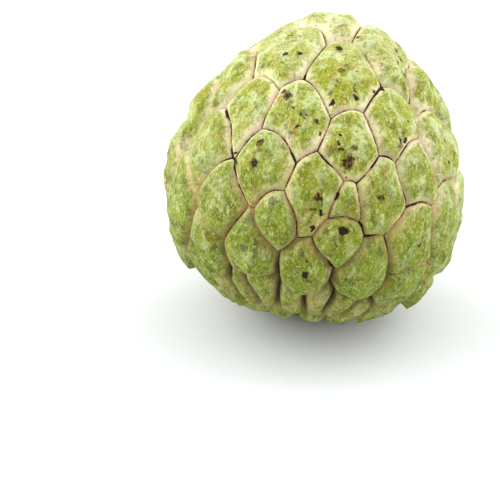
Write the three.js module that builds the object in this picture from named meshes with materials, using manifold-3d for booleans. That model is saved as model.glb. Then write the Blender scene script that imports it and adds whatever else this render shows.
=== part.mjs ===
// A whole custard apple (sugar apple), lying as it settles on a table: an egg-shaped fruit covered in
// pillowed scales, with the short woody stub of its stalk in the hollow at its broad end.
// Units are millimetres. +Z is up, the floor is Z = 0 and the tip leans back towards +Y.
import * as THREE from "three";
import { mergeVertices } from "three/addons/utils/BufferGeometryUtils.js";
import Module from "manifold-3d";

const wasm = await Module();
wasm.setup();

// Driving dimensions.
const halfWidth = 40.8; // egg without its scales, at the widest
const halfLength = 43.4; // stalk end to tip, without scales
const hollow = { depth: 8.5, radius: 9.5 }; // the dip that the stalk sits in
const tipDip = { depth: 1.5, radius: 12 };
const scaleSize = { halfWidth: 9, halfLength: 12.5 }; // of a full-sized scale
const pillow = { height: 3.9, reach: 7, lift: 0.5 }; // rise from seam to crown, and of the lower end
const tongue = { height: 1.6, lift: 1.2, from: 95, to: 130 }; // what scales near the stalk add to that
const stalk = { radius: 3.6, length: 5.5, gap: 0.3 };
const leanBack = 30; // degrees that the tip leans away from the front
const leanRight = 9; // degrees that the tip leans to the right, seen square to the fruit
const flatDepth = 2.2; // how much of the lowest scales the flat resting spot takes away
const eggDetail = 22; // each edge of the starting icosahedron is cut into this many and one more

// Scales set by eye on the front: degrees round from the front, degrees down from the tip, and size.
const frontScales = [
  [-13, 31, 1.0],
  [35, 45, 1.15],
  [-31, 51, 1.1],
  [2, 58, 1.12],
  [57, 60, 0.9],
  [-57, 64, 0.95],
  [26, 77, 1.0],
  [-73, 78, 0.95],
  [54, 80, 1.0],
  [-36, 79, 1.0],
  [-14, 81, 1.02],
  [-85, 92, 0.85],
  [9, 88, 0.95],
  [-51, 93, 1.0],
  [38, 92, 0.92],
  [-23, 97, 0.95],
  [23, 103, 0.97],
  [10, 107, 0.5],
  [-2, 106, 1.0],
  [58, 104, 0.85],
  [-40, 111, 0.9],
  [-16, 114, 0.7],
  [41, 115, 1.0],
  [10, 119, 0.88],
  [-67, 110, 0.9],
  [-28, 127, 0.85],
  [25, 129, 0.95],
  [0, 133, 0.85],
  [50, 133, 0.85],
  [-51, 130, 0.85],
];

// Rings of even scales over the back, and right round the stalk end: degrees down from the tip,
// how many, the first one's degrees round from the front, and how far the ring runs.
const evenRings = [
  { down: 13, count: 1, from: 150, arc: 360 },
  { down: 34, count: 4, from: 90, arc: 215 },
  { down: 52, count: 5, from: 86, arc: 210 },
  { down: 67, count: 5, from: 100, arc: 205 },
  { down: 82, count: 6, from: 86, arc: 210 },
  { down: 96, count: 6, from: 80, arc: 200 },
  { down: 109, count: 6, from: 88, arc: 205 },
  { down: 121, count: 6, from: 76, arc: 207 },
  { down: 131, count: 8, from: 76, arc: 222 },
  { down: 147, count: 22, from: 9.5, arc: 360 },
  { down: 163, count: 9, from: 20, arc: 360 },
];
const archLean = 1.2;
const archTaper = 0.18;
const tongueLean = -0.5;
const goldenStep = 0.618; // spreads the even rings' small irregularities
const unevenness = 4; // degrees

// A point of the egg without scales, the given degrees round from the front and down from the tip.
function eggPoint(round, down) {
  const angle = THREE.MathUtils.degToRad(down);
  const c = Math.cos(angle);
  const egg = 0.975 - 0.21 * c - 0.045 * c * c + 0.08 * c ** 3; // broad at the stalk end
  const taper = egg - 0.18 * Math.max(c, 0) ** 4; // and drawn in near the tip
  const radius = halfWidth * Math.sin(angle) * taper;
  const { depth, radius: reach } = c < 0 ? hollow : { depth: -tipDip.depth, radius: tipDip.radius };
  const dip = depth * Math.exp(-((radius / reach) ** 2));
  const turn = THREE.MathUtils.degToRad(round);
  return new THREE.Vector3(radius * Math.sin(turn), -radius * Math.cos(turn), halfLength * c + dip);
}

// From the first value to the last, as x goes from one end of a range to the other.
function between(x, from, to, first, last) {
  return first + (last - first) * THREE.MathUtils.clamp((x - from) / (to - from), 0, 1);
}

// The scale's middle, its directions sideways, towards the tip and outwards, its half sizes, and its
// lean. The lean lets an upper scale's arch push up between the two above it, and a tongue near the
// stalk hang down, so the middle is set back by as much. Tongues are slimmer too.
function makeScale(round, downOfCentre, size) {
  const lean = between(downOfCentre, 105, 132, archLean, tongueLean);
  const slim = between(downOfCentre, 128, 142, 1, 0.85);
  const down = downOfCentre + 3 * (lean - 0.5);
  const north = eggPoint(round, down - 0.5).sub(eggPoint(round, down + 0.5)).normalize();
  const east = eggPoint(round + 0.5, down).sub(eggPoint(round - 0.5, down)).normalize();
  const outward = new THREE.Vector3().crossVectors(east, north);
  const w = scaleSize.halfWidth * size * slim;
  const l = (scaleSize.halfLength * size) / slim;
  return { middle: eggPoint(round, down), east, north, outward, w, l, lean };
}

function makeAllScales() {
  const scales = frontScales.map(([round, down, size]) => makeScale(round, down, size));
  let step = 0;
  for (const ring of evenRings) {
    const shrink = between(ring.down, 75, 130, 1, 0.8) - between(ring.down, 130, 163, 0, 0.27);
    for (let i = 0; i < ring.count; i++) {
      step += goldenStep;
      const wobble = unevenness * ((step % 1) - 0.5);
      scales.push(makeScale(ring.from + (i * ring.arc) / ring.count + wobble, ring.down + wobble, shrink));
    }
  }
  return scales;
}

// How far a point is from a scale's middle, as a share of the scale's size: a pointed arch towards the
// tip. The fourth power makes the scales meet in rounded outlines.
function reachOf(scale, point) {
  const offset = point.clone().sub(scale.middle);
  const up = offset.dot(scale.north) / scale.l;
  const narrowing = 1 - archTaper * THREE.MathUtils.clamp(up, -1, 1);
  const side = offset.dot(scale.east) / (scale.w * narrowing);
  const depth = offset.dot(scale.outward) / ((scale.w + scale.l) / 2);
  return { value: (side ** 2 + up ** 2 + depth ** 2) ** 2 - scale.lean * up, up };
}

// Where a point of the egg stands among the scales: the scale it is on, how far it is from that scale's
// seam, the way to the seam, and how far up the scale it lies, from -1 at the lower end to 1 at the tip.
function findOnScales(point, scales) {
  const reaches = scales.map((scale) => reachOf(scale, point).value);
  let nearest = 0;
  for (let i = 1; i < reaches.length; i++) if (reaches[i] < reaches[nearest]) nearest = i;
  let next = nearest === 0 ? 1 : 0;
  for (let i = 0; i < reaches.length; i++) if (i !== nearest && reaches[i] < reaches[next]) next = i;
  const margin = (p) => reachOf(scales[next], p).value - reachOf(scales[nearest], p).value;
  const step = 0.2;
  const here = margin(point);
  const slope = new THREE.Vector3(
    (margin(point.clone().setX(point.x + step)) - here) / step,
    (margin(point.clone().setY(point.y + step)) - here) / step,
    (margin(point.clone().setZ(point.z + step)) - here) / step,
  );
  const steepness = Math.max(slope.length(), 0.15);
  const up = THREE.MathUtils.clamp(reachOf(scales[nearest], point).up, -1, 1);
  return { fromSeam: here / steepness, toSeam: slope.divideScalar(-steepness), up };
}

// The height of the rind over the egg: a pillow on each scale, fuller at its lower end and near the
// stalk, down to nothing along the seams and in the hollow.
function rindHeight(point, { fromSeam, up }) {
  const room = Math.min(fromSeam / pillow.reach, 1);
  const down = THREE.MathUtils.radToDeg(Math.acos(THREE.MathUtils.clamp(point.z / halfLength, -1, 1)));
  const height = pillow.height + between(down, tongue.from, tongue.to, 0, tongue.height);
  const lift = pillow.lift + between(down, tongue.from, tongue.to, 0, tongue.lift);
  const rise = height * (1 - (1 - room) ** 2) - lift * up * room;
  const fromAxis = Math.hypot(point.x, point.y);
  return point.z > 0 ? rise : rise * THREE.MathUtils.smoothstep(fromAxis, stalk.radius + 1, hollow.radius + 1);
}

function toManifold(geometry) {
  const vertProperties = new Float32Array(geometry.attributes.position.array);
  const triVerts = new Uint32Array(geometry.index.array);
  return new wasm.Manifold(new wasm.Mesh({ numProp: 3, vertProperties, triVerts }));
}

function toGeometry(solid) {
  const { vertProperties, triVerts } = solid.getMesh();
  const geometry = new THREE.BufferGeometry();
  geometry.setAttribute("position", new THREE.BufferAttribute(vertProperties, 3));
  geometry.setIndex(new THREE.BufferAttribute(triVerts, 1));
  return geometry;
}

// How the fruit lies: its own frame, tip up, leaned to the right and then back.
function layingTurn() {
  const right = new THREE.Matrix4().makeRotationY(THREE.MathUtils.degToRad(leanRight));
  const back = new THREE.Matrix4().makeRotationX(THREE.MathUtils.degToRad(-leanBack));
  return back.multiply(right);
}

// Each point's value, evened out with the values of the points around it.
const ownWeight = 9;
function evenOut(values, triangles) {
  const sums = values.map((value) => ownWeight * value);
  const weights = values.map(() => ownWeight);
  for (let i = 0; i < triangles.count; i++) {
    const corner = triangles.getX(i);
    const next = triangles.getX(i % 3 === 2 ? i - 2 : i + 1);
    sums[corner] += values[next];
    weights[corner] += 1;
  }
  return sums.map((sum, i) => sum / weights[i]);
}

// The fruit tip up: a fine ball pulled out to the egg and its scales. The points next to a seam are
// drawn onto it, so that the seam is one clean crease.
function fruitGeometry(scales) {
  const ball = new THREE.IcosahedronGeometry(1, eggDetail);
  for (const name of ["normal", "uv"]) ball.deleteAttribute(name);
  const geometry = mergeVertices(ball, 1e-5);
  const place = geometry.attributes.position;
  const creaseWidth = 0.42 * ((halfWidth * 1.1) / (eggDetail + 1));
  const points = [];
  const rises = [];
  for (let i = 0; i < place.count; i++) {
    const direction = new THREE.Vector3().fromBufferAttribute(place, i).normalize();
    const round = THREE.MathUtils.radToDeg(Math.atan2(direction.x, -direction.y));
    const point = eggPoint(round, THREE.MathUtils.radToDeg(Math.acos(direction.z)));
    let standing = findOnScales(point, scales);
    if (standing.fromSeam < creaseWidth) {
      point.addScaledVector(standing.toSeam, standing.fromSeam);
      standing = { fromSeam: 0, up: 0 };
    }
    points.push(point);
    rises.push(rindHeight(point, standing));
  }
  evenOut(rises, geometry.index).forEach((rise, i) => {
    const { x, y, z } = points[i];
    const outward = new THREE.Vector3(x / halfWidth, y / halfWidth, z / halfLength).normalize();
    points[i].addScaledVector(outward, rise);
    place.setXYZ(i, points[i].x, points[i].y, points[i].z);
  });
  return geometry;
}

// The laid fruit, cut flat where it rests on Z = 0.
function makeFruit(geometry) {
  const underFloor = new THREE.BoxGeometry(200, 200, 20).translate(0, 0, -10);
  for (const name of ["normal", "uv"]) underFloor.deleteAttribute(name);
  const resting = toManifold(geometry).subtract(toManifold(mergeVertices(underFloor)));
  const material = new THREE.MeshStandardMaterial({ color: 0x9db36a, roughness: 0.7, metalness: 0 });
  const fruit = new THREE.Mesh(toGeometry(resting), material);
  fruit.name = "fruit";
  return fruit;
}

// The stalk's stub: a woody peg with a broken end, seated just clear of the floor of the hollow.
function makeStalk() {
  const { radius, length, gap } = stalk;
  const seat = [174, 176, 178, 180].map((down) => {
    const { y, z } = eggPoint(0, down);
    return [Math.abs(y), z - 1.2 * gap];
  });
  const top = seat[3][1];
  const profile = [
    [0, top - length],
    [radius * 0.7, top - length * 1.02],
    [radius, top - length * 0.9],
    [radius * 0.92, top - length * 0.55],
    [radius * 1.02, top - length * 0.3],
    ...seat,
  ].map(([r, z]) => new THREE.Vector2(r, z));
  const peg = new THREE.LatheGeometry(profile, 24).rotateX(Math.PI / 2);
  const material = new THREE.MeshStandardMaterial({ color: 0x5a4030, roughness: 0.9, metalness: 0 });
  const stub = new THREE.Mesh(peg, material);
  stub.name = "stalk_stub";
  return stub;
}

const fruitShape = fruitGeometry(makeAllScales()).applyMatrix4(layingTurn());
fruitShape.computeBoundingBox();
const { min, max } = fruitShape.boundingBox;
const ontoFloor = new THREE.Vector3(-(min.x + max.x) / 2, -(min.y + max.y) / 2, -min.z - flatDepth);
fruitShape.translate(...ontoFloor);

const stub = makeStalk();
stub.geometry.applyMatrix4(layingTurn()).translate(...ontoFloor);

const custardApple = new THREE.Group();
custardApple.name = "custard_apple";
custardApple.add(makeFruit(fruitShape), stub);

export default custardApple;
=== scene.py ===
# %% [markdown]
# # A custard apple
#
# A custard apple, or sugar apple, is about the size of a fist and is covered in plump green scales. Each
# scale is a pointed arch that reaches up between the two above it, and cream and brown seams run between
# them. Here it lies on a white table on its broad end, with its tip leaning back, as it would settle.
#
# The fruit grew as one body, so it is one mesh. The only piece of another nature is the short woody stub
# of the stalk, in the hollow underneath.

# %% Load the fixed frame
import math

import bmesh
import bpy
import numpy as np
from mathutils import Matrix, Vector


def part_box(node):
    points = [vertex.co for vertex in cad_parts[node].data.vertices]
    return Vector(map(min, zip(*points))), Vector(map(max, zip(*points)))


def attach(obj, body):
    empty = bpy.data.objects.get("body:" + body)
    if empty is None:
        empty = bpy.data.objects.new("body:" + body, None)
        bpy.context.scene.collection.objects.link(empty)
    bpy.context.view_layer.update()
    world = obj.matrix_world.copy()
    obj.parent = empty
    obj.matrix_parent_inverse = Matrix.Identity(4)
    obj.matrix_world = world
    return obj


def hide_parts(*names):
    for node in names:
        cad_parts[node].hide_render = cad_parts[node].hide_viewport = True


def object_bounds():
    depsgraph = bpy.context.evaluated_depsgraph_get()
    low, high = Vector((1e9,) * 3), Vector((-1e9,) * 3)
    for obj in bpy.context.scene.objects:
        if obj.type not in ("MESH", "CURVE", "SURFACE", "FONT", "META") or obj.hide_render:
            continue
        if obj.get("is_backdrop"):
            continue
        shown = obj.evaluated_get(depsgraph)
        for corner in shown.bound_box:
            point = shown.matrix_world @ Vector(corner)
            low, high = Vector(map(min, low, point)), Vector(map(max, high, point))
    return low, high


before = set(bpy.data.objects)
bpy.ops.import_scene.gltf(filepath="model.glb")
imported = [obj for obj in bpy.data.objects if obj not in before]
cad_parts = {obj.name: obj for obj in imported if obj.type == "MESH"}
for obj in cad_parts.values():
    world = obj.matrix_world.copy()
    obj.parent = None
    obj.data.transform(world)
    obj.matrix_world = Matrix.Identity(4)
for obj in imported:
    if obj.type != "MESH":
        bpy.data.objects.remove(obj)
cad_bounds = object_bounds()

MM = 0.001  # shapes below are worked out in millimetres and stored in metres
print("the part is", [round(x / MM, 1) for x in cad_bounds[1] - cad_bounds[0]], "mm")

# %% [markdown]
# ## The egg under the scales
#
# Without its scales the fruit is a short egg, broad at the stalk and drawn in near the tip, with a dip
# where the stalk sits. It is a body of revolution, so two angles say where a point is: how far round from
# the front, and how far down from the tip. A formula gives the egg's radius at each height, which is
# easier to tune than a drawn profile and works on thousands of points at once.

# %% The egg as a formula
HALF_WIDTH, HALF_LENGTH = 40.8, 43.4
HOLLOW_DEPTH, HOLLOW_RADIUS = 8.5, 9.5
TIP_DIP, TIP_RADIUS = 1.2, 10.0


def egg_point(round_deg, down_deg):
    """Points of the bare egg, tip up, from degrees round from the front and degrees down from the tip."""
    turn, down = np.radians(round_deg), np.radians(down_deg)
    c = np.cos(down)
    taper = 0.975 - 0.21 * c - 0.045 * c**2 + 0.08 * c**3 - 0.18 * np.maximum(c, 0) ** 4
    radius = HALF_WIDTH * np.sin(down) * taper
    hollow = HOLLOW_DEPTH * np.exp(-((radius / HOLLOW_RADIUS) ** 2))
    dip = np.where(c < 0, hollow, -TIP_DIP * np.exp(-((radius / TIP_RADIUS) ** 2)))
    height = HALF_LENGTH * c + dip
    return np.stack([radius * np.sin(turn), -radius * np.cos(turn), height], axis=-1)


print("the egg is", round(2 * np.max(egg_point(90, np.arange(180))[:, 0]), 1), "mm across")

# %% [markdown]
# ## Where the scales are
#
# Real scales follow crossing spirals, but every fruit breaks the pattern in its own way. So the scales of
# the front are set one by one, and the back is filled with rings whose spacing wobbles a little. Each
# needs only a middle, a size and how plump it is: the outlines follow in the next step, because each
# scale grows until it meets its neighbours. Size and plumpness are shares of a usual scale's.

# %% Middles and sizes of the scales
FRONT_SCALES = [  # degrees round, degrees down, size, plumpness
    (-13, 31, 1.0, 1.5),
    (35, 45, 1.15, 1.5),
    (-33, 51, 1.15, 1.1),
    (3, 58, 1.12, 1.0),
    (57, 60, 0.9, 1.9),
    (-59, 68, 0.92, 1.8),
    (27, 77, 1.0, 1.0),
    (-73, 78, 0.95, 2.0),
    (54, 80, 1.0, 1.1),
    (-38, 79, 0.98, 1.0),
    (-16, 80, 1.03, 1.0),
    (-85, 92, 0.85, 1.6),
    (9, 88, 0.95, 1.0),
    (-51, 93, 1.0, 1.0),
    (38, 92, 0.92, 1.0),
    (-23, 97, 0.95, 1.0),
    (23, 103, 0.97, 1.0),
    (10, 107, 0.62, 1.0),
    (-2, 106, 1.0, 1.0),
    (58, 104, 0.85, 1.15),
    (-40, 111, 0.9, 1.0),
    (-16, 114, 0.7, 1.0),
    (41, 115, 1.0, 1.0),
    (10, 119, 0.82, 1.0),
    (-67, 110, 0.9, 1.0),
    (-28, 127, 0.85, 1.0),
    (25, 129, 0.95, 1.0),
    (0, 133, 0.85, 1.0),
    (50, 133, 0.85, 1.0),
    (-51, 130, 0.85, 1.0),
]
EVEN_RINGS = [  # degrees down, how many, degrees round of the first, how far the ring runs
    (13, 1, 150, 360),
    (34, 4, 90, 215),
    (52, 5, 86, 210),
    (67, 5, 100, 205),
    (82, 6, 86, 210),
    (96, 6, 80, 200),
    (109, 6, 88, 205),
    (121, 6, 76, 207),
    (131, 8, 76, 222),
    (147, 22, 9.5, 360),
    (163, 9, 20, 360),
]
GOLDEN_STEP, UNEVENNESS = 0.618, 4  # how the rings' wobble is spread, and its size in degrees
SCALE_HALF_WIDTH, SCALE_HALF_LENGTH = 9.0, 12.5  # millimetres
ARCH_LEAN, TONGUE_LEAN = 1.2, -0.5  # scales push up as arches, and near the stalk down as tongues


def make_scale(round_deg, down_deg, size, plumpness=1):
    """A scale's middle, its directions sideways, towards the tip and outwards, its half sizes, and how
    it leans and how plump it is."""
    lean = np.interp(down_deg, [105, 132], [ARCH_LEAN, TONGUE_LEAN])
    slim = np.interp(down_deg, [128, 142], [1, 0.85])
    down_deg = down_deg + 3 * (lean - 0.5)  # a scale grows that much off its middle
    up = egg_point(round_deg, down_deg - 0.5) - egg_point(round_deg, down_deg + 0.5)
    side = egg_point(round_deg + 0.5, down_deg) - egg_point(round_deg - 0.5, down_deg)
    up, side = up / np.linalg.norm(up), side / np.linalg.norm(side)
    half_width, half_length = size * slim * SCALE_HALF_WIDTH, size / slim * SCALE_HALF_LENGTH
    middle, out = egg_point(round_deg, down_deg), np.cross(side, up)
    return middle, side, up, out, half_width, half_length, lean, plumpness


scales = [make_scale(*scale) for scale in FRONT_SCALES]
step = 0
for down, count, first, arc in EVEN_RINGS:
    size = np.interp(down, [75, 110, 130, 147, 163], [1, 0.9, 0.8, 0.68, 0.5])
    for i in range(count):
        step += GOLDEN_STEP
        wobble = UNEVENNESS * (step % 1 - 0.5)
        scales.append(make_scale(first + i * arc / count + wobble, down + wobble, size))
print(len(scales), "scales")

# %% [markdown]
# ## How the scales share the skin
#
# Each scale measures how far every point of the skin is from its middle, as a share of its own size, and
# a point belongs to the scale that finds it nearest. A leaning fourth power gives the outlines that real
# scales have: round-shouldered arches that push up between the two above. The difference between the
# nearest scale and the next one, divided by how fast it changes, is the distance to the seam in
# millimetres. That one distance drives both the relief and the colours.

# %% Gentle waves
def waves(points, length, seed):
    """Smooth waves between about -1 and 1, of the given length in millimetres, in no one direction."""
    rng = np.random.default_rng(seed)
    total = np.zeros(len(points))
    for _ in range(7):
        direction = rng.normal(size=3)
        direction *= 2 * np.pi / length / np.linalg.norm(direction)
        total += np.sin(points @ direction + rng.uniform(0, 2 * np.pi))
    return total / 2.6


# %% Distance to the seam
ARCH_TAPER = 0.18
CORNER_ROUNDING, ROUNDING_REACH = 0.7, 3.0  # millimetres
SEAM_WAVE_HEIGHT, SEAM_WAVE_LENGTH = 0.35, 11  # millimetres


def reach(scale, points):
    """How far points are from a scale's middle, the slope of that, and how far up the scale they lie."""
    middle, side, up, out, w, l, lean, _ = scale
    offset = points - middle
    v = offset @ up / l
    held = np.clip(v, -1, 1)
    width = w * (1 - ARCH_TAPER * held)
    u = offset @ side / width
    depth = (w + l) / 2
    t = offset @ out / depth
    square = u**2 + v**2 + t**2
    narrowing = np.where(v == held, u**2 * w * ARCH_TAPER / (width * l), 0)
    slope = 4 * square[:, None] * (
        (u / width)[:, None] * side + (v / l + narrowing)[:, None] * up + (t / depth)[:, None] * out
    )
    return square**2 - lean * v, slope - lean / l * up, held


def stand(points):
    """Where points stand among the scales: whose they are, millimetres to the seam and the way there,
    the same distance with rounded corners, and how far up the scale they lie."""
    count = len(points)
    wave = np.stack([waves(points, SEAM_WAVE_LENGTH, 30 + axis) for axis in range(3)], axis=1)
    points = points + SEAM_WAVE_HEIGHT * wave
    best, owner = np.full(count, np.inf), np.zeros(count, int)
    best_slope, height = np.zeros((count, 3)), np.zeros(count)
    for i, scale in enumerate(scales):
        value, slope, held = reach(scale, points)
        nearer = value < best
        best[nearer], best_slope[nearer] = value[nearer], slope[nearer]
        owner[nearer], height[nearer] = i, held[nearer]
    to_seam, way, crowding = np.full(count, np.inf), np.zeros((count, 3)), np.zeros(count)
    for i, scale in enumerate(scales):
        value, slope, _ = reach(scale, points)
        slope = slope - best_slope
        steepness = np.maximum(np.linalg.norm(slope, axis=1), 0.15)
        gap = np.where(owner == i, np.inf, (value - best) / steepness)
        crowding += np.exp(-gap / CORNER_ROUNDING)
        nearer = gap < to_seam
        to_seam[nearer] = gap[nearer]
        way[nearer] = (-slope / steepness[:, None])[nearer]
    crowding *= np.exp(to_seam / CORNER_ROUNDING)
    rounded = to_seam - CORNER_ROUNDING * np.log(crowding) * np.exp(-to_seam / ROUNDING_REACH)
    return owner, to_seam, way, rounded, height


# %% [markdown]
# ## The skin's mesh
#
# An icosphere has no poles and even triangles, so it is the best ball to pull into an egg. Seams need
# finer triangles than the calm middles of the scales, so only the edges near a seam are cut once more.
# The points next to a seam are then drawn onto it, which makes it one clean crease.

# %% A ball that is finer along the seams
SEAM_BAND = 1.4  # millimetres on each side of a seam
bm = bmesh.new()
bmesh.ops.create_icosphere(bm, subdivisions=7, radius=1)


def ball_to_egg(bm):
    """The ball's points on the bare egg."""
    ball = np.array([v.co for v in bm.verts])
    ball /= np.linalg.norm(ball, axis=1)[:, None]
    round_deg = np.degrees(np.arctan2(ball[:, 0], -ball[:, 1]))
    return egg_point(round_deg, np.degrees(np.arccos(ball[:, 2])))


reached = stand(ball_to_egg(bm))[1]
bm.verts.index_update()
fine = [e for e in bm.edges if min(reached[v.index] for v in e.verts) < SEAM_BAND]
bmesh.ops.subdivide_edges(bm, edges=fine, cuts=1, use_grid_fill=True)
bmesh.ops.triangulate(bm, faces=bm.faces[:])
print(len(bm.verts), "points,", len(bm.faces), "triangles")

# %% [markdown]
# ## Plump scales
#
# A scale is a plate with a rounded shoulder along its seam and a dome over its middle. On the upper part
# of the fruit the domes are low, the upper edges stand a little proud, and a shallow groove runs along
# each seam. Towards the stalk the scales turn into plump tongues whose lower ends hang over the next
# row, with deep gaps between them. Small waves keep each one from being a perfect dome.

# %% Raise the scales
PLATE_HEIGHT, SHOULDER = 0.5, 0.4
DOME_HEIGHT, DOME_REACH = 2.4, 6.5
TONGUE_EDGE, TONGUE_DOME, TONGUE_END, TONGUE_HANG = 1.9, 1.6, 1.2, 3.0  # what tongues near the stalk add
UPPER_EDGE_STEP, CRACK_DEPTH = 0.3, 0.3
CREASE = 0.12  # points this near a seam are drawn onto it
TONGUES_FROM, TONGUES_TO = 105, 131  # degrees down where scales start and finish turning into tongues

bare = ball_to_egg(bm)
skin = bare.copy()
owner, to_seam, way, rounded, height = stand(skin)
crease = to_seam < CREASE
skin[crease] += (way * to_seam[:, None])[crease]
to_seam[crease] = 0

tone = np.random.default_rng(4).uniform(0, 1, len(scales))[owner]
ups = np.array([scale[2] for scale in scales])[owner]
upward = np.sum(way * ups, axis=1)
upward[crease] = 0

down_deg = np.degrees(np.arccos(np.clip(skin[:, 2] / HALF_LENGTH, -1, 1)))
tongue = np.clip((down_deg - TONGUES_FROM) / (TONGUES_TO - TONGUES_FROM), 0, 1)
inner = np.maximum(rounded, 0)
room = np.clip(inner / DOME_REACH, 0, 1)
edge = 1 - np.exp(-inner / (SHOULDER * (1 + tongue)))
rise = PLATE_HEIGHT * edge + TONGUE_EDGE * tongue * (edge - 0.6)
plumpness = (0.9 + 0.2 * tone) * np.array([scale[-1] for scale in scales])[owner]
rise += (DOME_HEIGHT * plumpness + TONGUE_DOME * tongue) * (1 - (1 - room) ** 2)
rise -= (0.5 + TONGUE_END * tongue) * height * np.minimum(2 * room, 1)
rise += UPPER_EDGE_STEP * (1 - 3 * tongue) * upward * np.exp(-to_seam / 1.2)
rise -= CRACK_DEPTH * np.exp(-((to_seam / 0.4) ** 2))
rise += (0.2 * waves(skin, 9, 1) + 0.12 * waves(skin, 3.5, 2)) * np.clip(to_seam / 2, 0, 1)
skin -= ups * (TONGUE_HANG * tongue * np.minimum(2 * room, 1) * np.clip(0.3 - height, 0, 1))[:, None]

from_axis = np.hypot(skin[:, 0], skin[:, 1])
shelter = np.clip((from_axis - 5) / (HOLLOW_RADIUS - 4), 0, 1)
rise *= np.where(skin[:, 2] < 0, shelter**2 * (3 - 2 * shelter), 1)
outward = skin / np.array([HALF_WIDTH, HALF_WIDTH, HALF_LENGTH]) ** 2
outward /= np.linalg.norm(outward, axis=1)[:, None]
skin += outward * rise[:, None]
print("scales rise up to", round(rise.max(), 1), "mm")

# %% [markdown]
# ## How it lies
#
# The fruit is leaned to the right and then tipped back, and lowered until its lowest scales press flat
# on the table. Its place comes from the frame's box, so that it fills the same space. The same turn
# places the stalk later.

# %% Lay it down
LEAN_RIGHT, LEAN_BACK, FLAT_DEPTH = 9, 30, 2.2
turn = Matrix.Rotation(math.radians(-LEAN_BACK), 3, "X") @ Matrix.Rotation(math.radians(LEAN_RIGHT), 3, "Y")
turn = np.array(turn)
skin = skin @ turn.T
low, high = skin.min(axis=0), skin.max(axis=0)
fruit_low, fruit_high = (np.array(corner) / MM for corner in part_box("fruit"))
settle = (fruit_low + fruit_high) / 2 - (low + high) / 2
settle[2] = -FLAT_DEPTH - low[2]
skin += settle
skin[:, 2] = np.maximum(skin[:, 2], 0)
centre = Vector(settle * MM)  # the middle of the egg
print("middle of the egg at", [round(x, 1) for x in settle], "mm")

# %% Make the fruit object
for vert, point in zip(bm.verts, skin * MM):
    vert.co = point
bmesh.ops.recalc_face_normals(bm, faces=bm.faces[:])
fruit_mesh = bpy.data.meshes.new("custard_apple_skin")
bm.to_mesh(fruit_mesh)
bm.free()
fruit_mesh.shade_smooth()


def store(mesh, name, values):
    """Keeps a number for each point of a mesh, for its material to read."""
    mesh.attributes.new(name, "FLOAT", "POINT").data.foreach_set("value", values.astype(np.float32))


store(fruit_mesh, "to_crack", to_seam)
store(fruit_mesh, "to_seam", rounded)
store(fruit_mesh, "height", height)
store(fruit_mesh, "upward", upward)
store(fruit_mesh, "tone", tone)
store(fruit_mesh, "stalkward", np.clip((down_deg - 60) / 80, 0, 1))
store(fruit_mesh, "tipward", np.clip((60 - down_deg) / 40, 0, 1))
fruit = bpy.data.objects.new("custard_apple_fruit", fruit_mesh)
bpy.context.scene.collection.objects.link(fruit)
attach(fruit, "root")
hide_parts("fruit")

# %% [markdown]
# ## Sums with shader nodes
#
# A finish is easier to read as a formula than as a web of nodes. A small class wraps a node's output, so
# that a plus or a times sign adds a Math node. Every other kind of node comes from one method, which
# sets the node's own settings first and then its sockets.


# %% Nodes and the values between them
class Value:
    """The output of a shader node. Sums of these add Math nodes."""

    def __init__(self, nodes, socket):
        self.nodes, self.socket = nodes, socket

    def math(self, operation, *values):
        return self.nodes.node("Math", {"operation": operation}, dict(enumerate(values)))

    def __add__(self, other):
        return self.math("ADD", self, other)

    def __sub__(self, other):
        return self.math("SUBTRACT", self, other)

    def __rsub__(self, other):
        return self.math("SUBTRACT", other, self)

    def __mul__(self, other):
        return self.math("MULTIPLY", self, other)

    __radd__, __rmul__ = __add__, __mul__

    def at_least(self, other):
        return self.math("MAXIMUM", self, other)

    def size(self):
        return self.math("ABSOLUTE", self)

    def rise(self, start, end):
        """0 before start, 1 after end, and smooth between. start may be the larger."""
        return self.nodes.node(
            "MapRange", {"interpolation_type": "SMOOTHSTEP"}, {0: self, 1: start, 2: end}
        )


class Nodes:
    """A tree of shader nodes, for a finish or for the studio's light."""

    def __init__(self, tree):
        self.tree = tree
        tree.nodes.clear()

    def node(self, kind, settings={}, sockets={}, out=0):
        """Adds a node and gives one of its outputs."""
        node = self.tree.nodes.new("ShaderNode" + kind)
        for key, value in settings.items():
            setattr(node, key, value)
        for key, value in sockets.items():
            if isinstance(value, Value):
                self.tree.links.new(value.socket, node.inputs[key])
            else:
                node.inputs[key].default_value = value
        return Value(self, node.outputs[out]) if len(node.outputs) else node

    def end(self, kind, shader):
        """Joins a shader to the tree's output."""
        self.node(kind, {}, {"Surface": shader})

    def mix(self, factor, under, over):
        """A colour between two colours."""
        settings = {"data_type": "RGBA", "clamp_factor": True}
        return self.node("Mix", settings, {0: factor, 6: under, 7: over}, out=2)


class Finish(Nodes):
    """A material made of nodes. Its patterns are measured in millimetres."""

    def __init__(self, name):
        self.material = bpy.data.materials.new(name)
        self.material.use_nodes = True
        super().__init__(self.material.node_tree)
        coordinates = self.node("TexCoord", out="Object")
        self.place = self.node("VectorMath", {"operation": "SCALE"}, {0: coordinates, "Scale": 1 / MM})

    def attribute(self, name):
        return self.node("Attribute", {"attribute_name": name}, out="Fac")

    def noise(self, size, detail=2, roughness=0.5, distortion=0, at=None):
        """Cloudy noise from 0 to 1, whose clouds are about the given size in millimetres."""
        sockets = {"Vector": at or self.place, "Scale": 1 / size, "Detail": detail}
        sockets.update({"Roughness": roughness, "Distortion": distortion})
        return self.node("TexNoise", {}, sockets)

    def surface(self, color, roughness, normal, **constants):
        """Ends the material in a Principled shader."""
        sockets = {"Base Color": color, "Roughness": roughness, "Normal": normal}
        sockets.update({key.replace("_", " "): value for key, value in constants.items()})
        self.end("OutputMaterial", self.node("BsdfPrincipled", {}, sockets))


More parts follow.
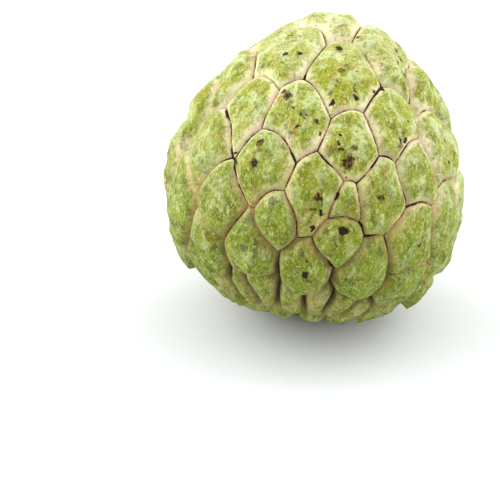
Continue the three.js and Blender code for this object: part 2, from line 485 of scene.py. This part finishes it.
def paint(red, green, blue):
    """A colour as a painter reads it off a screen, 0 to 255, turned into the light it reflects."""
    screen = np.array([red, green, blue]) / 255
    light = np.where(screen <= 0.04045, screen / 12.92, ((screen + 0.055) / 1.055) ** 2.4)
    return (*light.tolist(), 1.0)


# %% [markdown]
# ## The rind
#
# The rind's colours are laid on as they lie on the fruit. First comes a mottled leaf green, stronger
# towards the lower end of a scale, with a pale green thickest on its upper part. This is partly the rind's
# bloom and partly painted light from above: each scale is painted lighter on top and shaded below. Fine
# threads cross it, and brown stains lie here and there. The green is paler near the tip, partly bloom and
# partly a painted highlight, and deeper towards the stalk, partly a deeper green and partly painted shade.

# %% Greens of the rind
rind = Finish("custard_apple_rind")
to_seam_mm = rind.attribute("to_seam")
to_crack_mm = rind.attribute("to_crack")
up_scale = rind.attribute("height")
upper_edge = rind.attribute("upward")
scale_tone = rind.attribute("tone")
stalkward, tipward = rind.attribute("stalkward"), rind.attribute("tipward")
tilt = Matrix(turn.tolist()).to_euler()
lengthways = {"Vector": rind.place, "Location": settle, "Rotation": tilt, "Scale": (1, 1, 1.5)}
along = rind.node("Mapping", {"vector_type": "TEXTURE"}, lengthways)


def patches(size, start, end):
    """Soft patches of about the given size in millimetres."""
    return rind.noise(size, detail=2, roughness=0.55, distortion=0.5, at=along).rise(start, end)


mottle = rind.noise(1.2, detail=4, roughness=0.7, distortion=0.8, at=along)
flecks = rind.noise(0.55, detail=2, roughness=0.7, distortion=0.5, at=along)
threads = (rind.noise(1.6, detail=2, distortion=2.0, at=along) - 0.5).size().rise(0.03, 0.0)

green = rind.mix(scale_tone, paint(138, 142, 36), paint(146, 152, 64))
# Painted light on each scale, with the rind's own greens: a deeper green towards its lower end, which is
# shaded, and a paler green on its lit upper part.
leaf_green = patches(3.4, 0.42, 0.6) * (0.85 - 0.35 * up_scale - 0.2 * tipward)
green = rind.mix(leaf_green, green, paint(133, 142, 2))
green = rind.mix(patches(2.7, 0.5, 0.64) * (0.8 - 0.3 * up_scale), green, paint(84, 94, 4))
green = rind.mix(patches(4.2, 0.48, 0.62) * (0.7 + 0.2 * up_scale), green, paint(176, 188, 134))
# Paler near the tip: partly bloom and partly a painted highlight where the light from above falls.
green = rind.mix(tipward * patches(3.0, 0.3, 0.6) * 0.5, green, paint(212, 208, 184))
green = rind.mix(patches(3.8, 0.56, 0.67) * 0.6, green, paint(140, 108, 28))
# Darker, deeper green towards the stalk: partly the rind's own deeper green and partly painted shade on the
# underside, which the light reaches less.
green = rind.mix(stalkward * 0.55, green, paint(84, 98, 4))
lower = stalkward.rise(0.25, 0.7)
green = rind.mix(patches(3.0, 0.46, 0.6) * lower * 0.75, green, paint(98, 124, 0))
green = rind.mix(patches(2.2, 0.54, 0.64) * lower * 0.7, green, paint(52, 66, 2))

# %% [markdown]
# ## Marks at given places
#
# In some places the cracks gape, and in some the rind is bruised. A list gives such places in degrees
# round and down, as for the scales, and one function lays a mark on each: a ball around the nearest
# point of the skin, with its edge made ragged by noise. Noise alone would be shorter, but it can't say
# where a mark lies. Most of the degrees in the two lists were worked out beforehand by another program,
# and the others, with all the sizes and strengths, were set by hand.

# %% A ragged place, and the marks around places
rough_place = rind.node("TexNoise", {}, {"Vector": rind.place, "Scale": 0.8, "Detail": 3}, out="Color")
shift = rind.node("VectorMath", {"operation": "SUBTRACT"}, {0: rough_place, 1: (0.5, 0.5, 0.5)})
shift = rind.node("VectorMath", {"operation": "SCALE"}, {0: shift, "Scale": 2.8})
ragged_place = rind.node("VectorMath", {"operation": "ADD"}, {0: rind.place, 1: shift})


def on_skin(round_deg, down_deg):
    """The place on the laid fruit's skin at the given degrees, in millimetres."""
    away = np.linalg.norm(bare - egg_point(round_deg, down_deg), axis=1)
    return skin[np.argmin(away)]


def marks(places):
    """Ragged marks on the skin, each given by degrees round, degrees down, size and strength."""
    total = None
    for round_deg, down_deg, size, strength in places:
        spot = {0: ragged_place, 1: on_skin(round_deg, down_deg)}
        away = rind.node("VectorMath", {"operation": "DISTANCE"}, spot, out="Value")
        mark = away.rise(1.3 * size + 0.2, 0.55 * size) * strength
        total = mark if total is None else total.at_least(mark)
    return total


# %% [markdown]
# ## Rims, cracks and painted shade along the seams
#
# Towards the seam the green gives way to a ragged cream rim, then to a brown band, and a thin dark crack
# runs along it, wider where it gapes and along a scale's upper edge. The crack's darkness is partly its own
# brown and partly painted shade in the groove, where one scale's edge stands over the next. Near the stalk
# the rims are tan, and the gaps between the tongues are darkened with painted shade. All of these read the
# distance to the seam, so they follow the relief exactly.

# %% Rims, bands, cracks and painted shade
# Where a crack gapes, its dark line, partly painted shade, is drawn wider.
GAPING = [  # degrees round, degrees down, size, how wide
    (-14, 62, 2.4, 1.0),
    (-20, 64, 2.8, 0.8),
    (-42, 74, 4.0, 0.9),
    (-48, 79, 2.0, 1.0),
    (-36, 95, 4.0, 0.9),
    (-30, 86, 2.6, 1.0),
    (-24, 85, 2.4, 0.7),
    (-2, 76, 2.4, 0.5),
    (-13, 92, 2.2, 0.6),
    (22, 61, 3.0, 1.0),
    (35, 69, 4.0, 0.9),
    (-2, 92, 2.8, 0.8),
    (6, 102, 1.6, 1.0),
    (18, 88, 2.0, 0.8),
    (13, 97, 2.0, 0.6),
    (17, 112, 1.6, 1.0),
    (21, 113, 2.6, 0.7),
    (24, 87, 2.4, 0.8),
    (35, 99, 2.6, 0.7),
    (51, 68, 2.6, 0.8),
    (11, 128, 2.0, 1.0),
    (47, 88, 2.6, 0.7),
    (-1, 44, 2.6, 0.6),
    (41, 80, 2.4, 0.5),
    (100, 60, 4.0, 0.8),
    (150, 90, 4.0, 0.8),
    (205, 75, 4.0, 0.7),
    (250, 100, 4.0, 0.8),
]
ragged = to_seam_mm + 2.4 * (rind.noise(1.1, detail=3, roughness=0.7) - 0.5)
rim_width = (0.1 + 1.0 * rind.noise(6, detail=2).rise(0.35, 0.65)) * (1 - 0.4 * lower)
rim = (ragged - rim_width).rise(1.2, -0.5)
rim_color = rind.mix(patches(5, 0.4, 0.6), paint(232, 210, 186), paint(222, 217, 174))
rim_color = rind.mix(lower * 0.85, rim_color, paint(192, 162, 96))
skin_color = rind.mix(rim * (0.85 - 0.2 * lower), green, rim_color)
skin_color = rind.mix(mottle.rise(0.48, 0.34) * (0.62 - 0.4 * rim), skin_color, paint(76, 84, 2))
skin_color = rind.mix(mottle.rise(0.53, 0.68) * 0.5, skin_color, paint(194, 202, 128))
skin_color = rind.mix(flecks.rise(0.46, 0.32) * (0.5 - 0.35 * rim), skin_color, paint(80, 80, 6))
skin_color = rind.mix(flecks.rise(0.54, 0.7) * (0.5 - 0.2 * stalkward), skin_color, paint(210, 216, 146))
skin_color = rind.mix(threads * 0.2, skin_color, paint(210, 206, 140))

seam_brown = rind.mix(patches(6, 0.35, 0.6), paint(186, 152, 106), paint(136, 98, 54))
skin_color = rind.mix((to_crack_mm + 0.6 * (mottle - 0.5)).rise(0.5, 0.0) * 0.75, skin_color, seam_brown)
# The dark crack is partly the crack's own brown and partly painted shade in the groove under an overlapping
# scale edge, so it is drawn wider along a scale's upper edge.
crack_width = 0.04 + 0.14 * rind.noise(4, detail=3).rise(0.42, 0.6) + 0.32 * marks(GAPING)
crack_and_shade = (to_crack_mm - crack_width * (0.7 + 0.4 * upper_edge)).rise(0.1, -0.04)
skin_color = rind.mix(crack_and_shade, skin_color, paint(52, 32, 14))
# Painted shade: the gaps between the tongues near the stalk are darkened, as little light reaches into
# them.
gap = to_crack_mm.rise(1.3, 0.0) * stalkward.rise(0.75, 0.95)
skin_color = rind.mix(gap * 0.9, skin_color, paint(36, 34, 8))

# %% [markdown]
# ## Specks and bruises
#
# Tiny dark specks are scattered over the fruit by a cell pattern that puts a dot in some of its cells.
# The larger bruises are marks at given places, as the gaping cracks are. A weak one is only brown, and a
# strong one has a black heart. Their sizes are in millimetres.

# %% Specks
def speckle(spacing, share, size):
    """Dots of up to the given size in millimetres, one to a cell, in the given share of the cells."""
    cells = {"Vector": rind.place, "Scale": 1 / spacing, "Randomness": 1.0}
    away = rind.node("TexVoronoi", {}, cells, out="Distance")
    color = rind.node("TexVoronoi", {}, cells, out="Color")
    chance = rind.node("SeparateColor", {}, {0: color})
    radius = (chance - (1 - share)) * (size / spacing / share)
    return (away - radius).rise(0.06 / spacing, -0.1 / spacing)


specks = speckle(3.4, 0.3, 0.5).at_least(speckle(1.5, 0.12, 0.32))
specks = specks * rind.noise(9, detail=2).rise(0.4, 0.55)
skin_color = rind.mix(specks * 0.85, skin_color, paint(52, 38, 14))

# %% Bruises
BRUISES = [  # degrees round, degrees down, size, how dark: brown below 0.6, with a black heart above it
    (-2, 47, 1.0, 0.95),
    (-37, 44, 0.5, 0.75),
    (-30, 54, 0.7, 0.8),
    (-22, 53, 0.6, 0.7),
    (41, 42, 0.6, 0.85),
    (42, 47, 0.7, 0.85),
    (37, 49, 0.6, 0.8),
    (41, 53, 0.9, 0.95),
    (13, 37, 0.6, 0.9),
    (-1, 70, 0.8, 0.9),
    (8, 67, 0.8, 0.7),
    (8, 64, 0.6, 0.6),
    (1, 58, 0.9, 0.5),
    (0, 62, 0.6, 0.5),
    (3, 55, 0.5, 0.5),
    (23, 61, 0.8, 0.95),
    (18, 63, 0.6, 0.8),
    (-20, 71, 1.4, 0.62),
    (-22, 69, 0.8, 0.55),
    (-16, 75, 0.5, 0.65),
    (-13, 77, 0.5, 0.7),
    (-10, 77, 0.6, 0.6),
    (-6, 78, 0.6, 0.65),
    (-4, 82, 0.5, 0.65),
    (-13, 81, 0.55, 0.8),
    (3, 82, 0.45, 0.85),
    (3, 84, 0.5, 0.9),
    (4, 86, 0.55, 0.9),
    (10, 80, 0.4, 0.75),
    (10, 85, 0.8, 0.55),
    (8, 90, 1.9, 0.58),
    (7, 90, 0.9, 0.75),
    (31, 79, 0.9, 0.95),
    (28, 80, 0.6, 0.7),
    (29, 81, 1.2, 0.5),
    (55, 76, 0.6, 0.85),
    (56, 83, 0.5, 0.75),
    (47, 89, 0.8, 0.75),
    (-25, 88, 1.0, 0.55),
    (-25, 95, 1.4, 0.64),
    (-34, 95, 0.6, 0.8),
    (-36, 92, 0.5, 0.7),
    (-1, 103, 1.3, 0.66),
    (-2, 107, 0.6, 0.75),
    (1, 108, 0.7, 0.8),
    (-1, 114, 0.9, 0.95),
    (6, 102, 0.7, 0.95),
    (10, 113, 1.2, 0.95),
    (22, 100, 1.0, 0.58),
    (17, 111, 0.6, 0.85),
    (43, 113, 0.5, 0.75),
    (-1, 131, 0.9, 0.9),
    (11, 129, 0.8, 0.85),
]
bruised = marks(BRUISES)
skin_color = rind.mix(bruised.rise(0.05, 0.5) * 0.8, skin_color, paint(104, 80, 30))
bruised = bruised + 0.9 * (flecks - 0.5)
skin_color = rind.mix(bruised.rise(0.4, 0.64), skin_color, paint(30, 20, 8))

# %% Relief too fine for the mesh, and the rind's sheen
relief = 0.5 * mottle + 0.4 * flecks + 0.15 * threads - 0.5 * crack_and_shade - 0.2 * bruised
bump = rind.node("Bump", {}, {"Strength": 0.7, "Distance": 0.4 * MM, "Height": relief})
sheen = {"Specular_IOR_Level": 0.15, "Sheen_Weight": 0.06, "Sheen_Roughness": 0.3}
rind.surface(skin_color, 0.6 + 0.2 * rim, bump, **sheen)
fruit_mesh.materials.append(rind.material)

# %% [markdown]
# ## The stalk's stub
#
# The fruit was broken off its branch, and a short stub of grey-brown wood is left in the hollow. It is a
# round bar with a flared foot, shaped by extruding a circle ring by ring. Bark is cracked lengthways, so
# its ridges run along the bar, and the broken end is rough.

# %% Build the stub
STALK_RADIUS, STALK_LENGTH, GAP = 3.6, 5.5, 0.3
FIRST_RING = 1.6  # millimetres below the top of the hollow
TORN_FROM = 0.93  # the share of the length past which the end is torn
STALK_RINGS = [  # width, as a share of the stalk's, and how far along it
    (1.16, 0.0),
    (1.06, 0.12),
    (1.02, 0.3),
    (0.92, 0.55),
    (0.96, 0.75),
    (1.0, 0.9),
    (0.84, 0.97),
]
bm = bmesh.new()
top = egg_point(0, 180)[2] - 1.2 * GAP
bmesh.ops.create_circle(bm, segments=72, radius=STALK_RADIUS * STALK_RINGS[0][0])
bmesh.ops.translate(bm, verts=bm.verts, vec=(0, 0, top - FIRST_RING))
edges = bm.edges[:]
for (before, _), (width, share) in zip(STALK_RINGS, STALK_RINGS[1:]):
    ring = bmesh.ops.extrude_edge_only(bm, edges=edges)["geom"]
    verts = [g for g in ring if isinstance(g, bmesh.types.BMVert)]
    edges = [g for g in ring if isinstance(g, bmesh.types.BMEdge)]
    bmesh.ops.scale(bm, verts=verts, vec=(width / before, width / before, 1))
    level = top - max(share * STALK_LENGTH, FIRST_RING + share)
    bmesh.ops.translate(bm, verts=verts, vec=(0, 0, level - verts[0].co.z))
bmesh.ops.holes_fill(bm, edges=[e for e in bm.edges if e.is_boundary])
for cap in [f for f in bm.faces if len(f.verts) > 4]:
    bmesh.ops.poke(bm, faces=[cap])
bmesh.ops.subdivide_edges(bm, edges=bm.edges[:], cuts=1, use_grid_fill=True)
bmesh.ops.triangulate(bm, faces=bm.faces[:])

stub = np.array([v.co for v in bm.verts])
around = np.arctan2(stub[:, 1], stub[:, 0])
ridge = 0.16 * np.abs(np.sin(4.5 * around + 0.25 * stub[:, 2]))
ridge += 0.08 * np.sin(17 * around + 0.6 * stub[:, 2])
stub[:, :2] *= (1 + (ridge - 0.1) * np.hypot(stub[:, 0], stub[:, 1]) / STALK_RADIUS / 4)[:, None]
torn = stub[:, 2] < top - TORN_FROM * STALK_LENGTH
stub[torn, 2] += 0.5 * waves(stub[torn], 2.2, 5)
stub = stub @ turn.T + settle
for vert, point in zip(bm.verts, stub * MM):
    vert.co = point
bmesh.ops.recalc_face_normals(bm, faces=bm.faces[:])
stub_mesh = bpy.data.meshes.new("stalk_stub_wood")
bm.to_mesh(stub_mesh)
bm.free()
stub_mesh.shade_smooth()
stub_object = bpy.data.objects.new("custard_apple_stalk_stub", stub_mesh)
bpy.context.scene.collection.objects.link(stub_object)
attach(stub_object, "root")
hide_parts("stalk_stub")
print("stub from", round(stub[:, 2].min(), 1), "to", round(stub[:, 2].max(), 1), "mm above the table")

# %% Bark
bark = Finish("stalk_bark")
grain = bark.noise(0.8, detail=5, roughness=0.7, distortion=0.8)
lichen = bark.noise(2.5, detail=3)
wood = bark.mix(grain.rise(0.35, 0.65), paint(66, 48, 34), paint(128, 102, 76))
wood = bark.mix(lichen.rise(0.5, 0.75) * 0.6, wood, paint(150, 134, 110))
bump = bark.node("Bump", {}, {"Strength": 0.7, "Distance": 0.4 * MM, "Height": grain})
bark.surface(wood, 0.8 + 0.15 * grain, bump, Specular_IOR_Level=0.25)
stub_mesh.materials.append(bark.material)

# %% [markdown]
# ## Table, light and camera
#
# The fruit lies on a plain white table in a bright, soft studio. Most of the light comes from wide glows
# in the surroundings: one behind and above, two strong ones low on either side, and a faint one at the
# front left. A soft square lamp overhead adds to them. The camera looks down at 30 degrees through a long
# lens, which keeps the fruit's shape true.

# %% White table
TABLE_SIZE, TABLE_GAP = 3, 0.2 * MM  # metres, and the gap keeps the table clear of the flat scales
bm = bmesh.new()
bmesh.ops.create_grid(bm, x_segments=1, y_segments=1, size=TABLE_SIZE)
bmesh.ops.translate(bm, verts=bm.verts, vec=(0, 0, -TABLE_GAP))
table_mesh = bpy.data.meshes.new("table_top")
bm.to_mesh(table_mesh)
bm.free()
table = bpy.data.objects.new("white_table", table_mesh)
bpy.context.scene.collection.objects.link(table)
table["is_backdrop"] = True
laminate = Finish("white_laminate")
faint = laminate.noise(0.6)
level = laminate.node("Bump", {}, {"Strength": 0.02, "Distance": 0.1 * MM, "Height": faint})
laminate.surface((0.65, 0.67, 0.675, 1), 0.6 + 0.05 * faint, level, Specular_IOR_Level=0.2)
table_mesh.materials.append(laminate.material)

# %% Studio light
EVEN_GLOW = 0.32  # from every side
GLOWS = [  # the way to it, how bright it is, where it starts and where it is full
    ((-0.1, 0.74, 0.66), 0.52, -0.75, 0.6),
    ((-0.5, -0.8, 0.33), 0.35, 0.2, 1.0),
    ((0.93, 0.15, 0.33), 3.4, 0.5, 1.0),
    ((-0.94, 0.2, 0.28), 4.0, 0.5, 1.0),
]
SOFTBOX_PLACE, SOFTBOX_SIZE, SOFTBOX_POWER = (0.1, 0.3, 0.8), 1.0, 2.4  # metres and watts
world = bpy.data.worlds.new("white_studio")
bpy.context.scene.world = world
world.use_nodes = True
studio = Nodes(world.node_tree)
direction = studio.node("TexCoord", out="Generated")


def from_way(way):
    """1 for light that comes from the given way, down to -1 for light from the other way."""
    return studio.node("VectorMath", {"operation": "DOT_PRODUCT"}, {0: direction, 1: way}, out="Value")


glow = EVEN_GLOW
for way, brightness, start, full in GLOWS:
    glow = glow + brightness * from_way(way).rise(start, full)
studio.end("OutputWorld", studio.node("Background", {}, {"Color": (1, 1, 1, 1), "Strength": glow}))

softbox = bpy.data.lights.new("overhead_softbox", "AREA")
softbox.size, softbox.energy = SOFTBOX_SIZE, SOFTBOX_POWER
holder = bpy.data.objects.new("overhead_softbox", softbox)
bpy.context.scene.collection.objects.link(holder)
holder.location = SOFTBOX_PLACE
holder.rotation_euler = (centre - Vector(SOFTBOX_PLACE)).to_track_quat("-Z", "Y").to_euler()

# %% Camera
LENS, SENSOR = 100, 36  # millimetres
ELEVATION = math.radians(30)
DISTANCE = 398.6 * MM  # from the plane of the egg's middle
AIM_LEFT, AIM_BELOW = 19.8 * MM, 23.25 * MM  # how far beside and under the egg's middle it aims
back = Vector((0, -math.cos(ELEVATION), math.sin(ELEVATION)))
over = Vector((0, math.sin(ELEVATION), math.cos(ELEVATION)))
camera_data = bpy.data.cameras.new("camera")
camera_data.lens, camera_data.sensor_width = LENS, SENSOR
camera = bpy.data.objects.new("camera", camera_data)
bpy.context.scene.collection.objects.link(camera)
aim = centre - AIM_LEFT * Vector((1, 0, 0)) - AIM_BELOW * over
camera.location = aim + back * DISTANCE
camera.rotation_euler = (math.pi / 2 - ELEVATION, 0, 0)
bpy.context.scene.camera = camera
bpy.context.scene.view_settings.view_transform = "Standard"

# %% [markdown]
# ## Sizes
#
# The model's own box is gathered beside the frame's, and its size is printed.

# %% Gather the boxes and print the size
corners = {"cad": [list(c) for c in cad_bounds], "visual": [list(c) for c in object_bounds()]}
print("visual size", [round((b - a) / MM, 1) for a, b in zip(*corners["visual"])], "mm")
